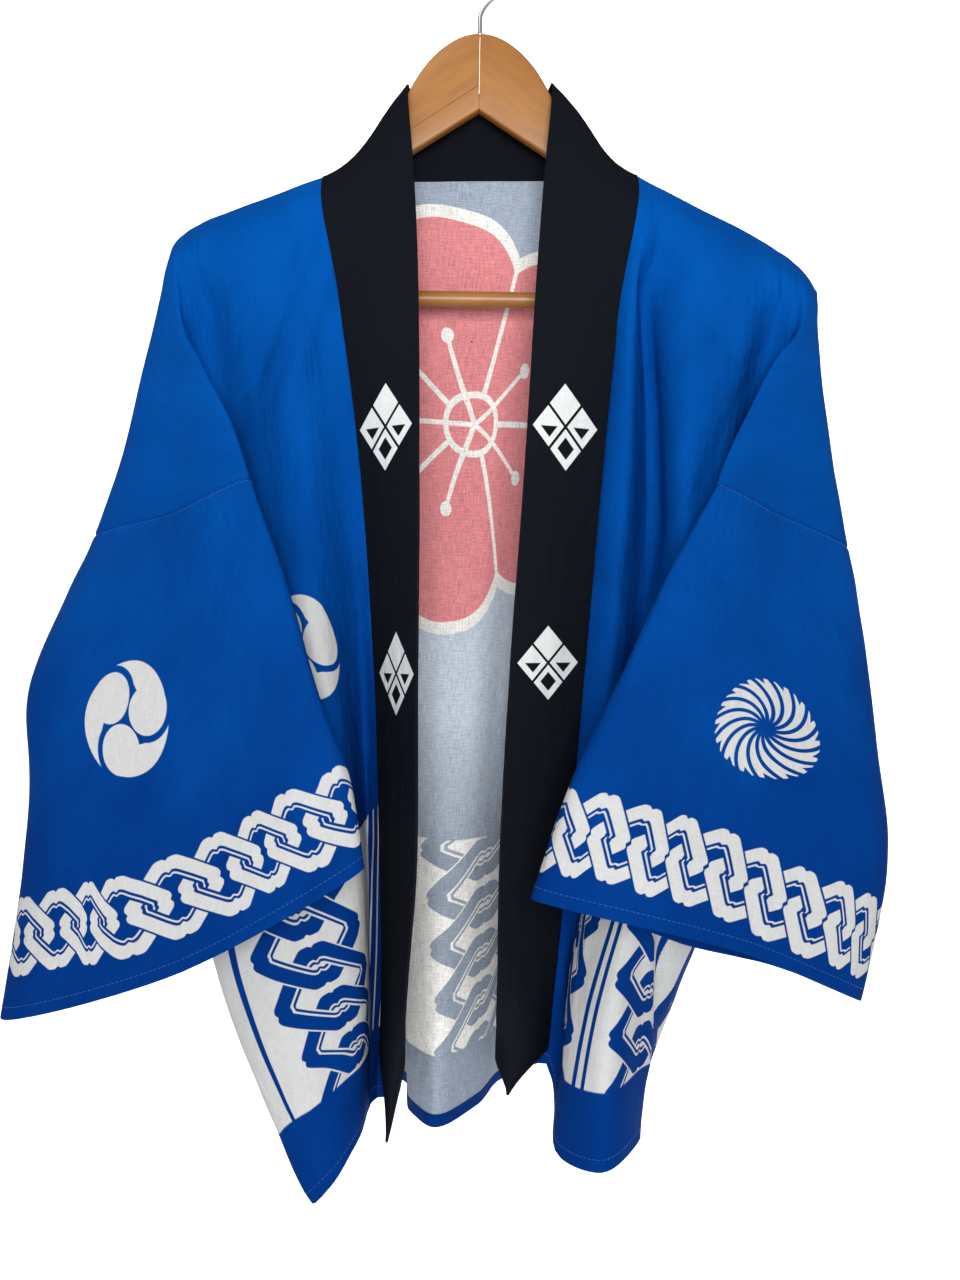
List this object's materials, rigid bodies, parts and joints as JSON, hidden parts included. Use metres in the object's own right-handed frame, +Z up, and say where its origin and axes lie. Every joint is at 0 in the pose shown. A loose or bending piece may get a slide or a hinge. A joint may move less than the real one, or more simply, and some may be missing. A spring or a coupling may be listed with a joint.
{
  "type": "happi coat on a hanger",
  "caption": "Short wide-sleeved cotton happi coat that hangs open and draped on a flat wooden hanger with a wire hook.",
  "frame": {"origin": "inside top of the hook, where the hanger hangs on its rail", "axes": "+Z up, +X to the wearer's left along the hanger, -Y out of the coat's front"},
  "size_m": [0.5852, 0.2956, 0.8476],
  "materials": {
    "blue_cotton": "plain-woven cotton dyed bright blue, with white printed patterns",
    "black_cotton": "black cotton band, pressed flat, with white printed motifs",
    "varnished_wood": "light brown, satin varnish",
    "bright_steel": "bright plated wire"
  },
  "bodies": {
    "root": {"back_right_upper": "blue_cotton", "back_right_lower": "blue_cotton", "back_left_upper": "blue_cotton", "back_left_lower": "blue_cotton", "front_right_upper": "blue_cotton", "front_right_lower": "blue_cotton", "front_left_upper": "blue_cotton", "front_left_lower": "blue_cotton", "sleeve_right_front": "blue_cotton", "sleeve_right_back": "blue_cotton", "sleeve_left_front": "blue_cotton", "sleeve_left_back": "blue_cotton", "collar": "black_cotton", "hanger_arm_right": "varnished_wood", "hanger_arm_left": "varnished_wood", "trouser_bar": "varnished_wood", "hook": "bright_steel"}
  },
  "joints": []
}
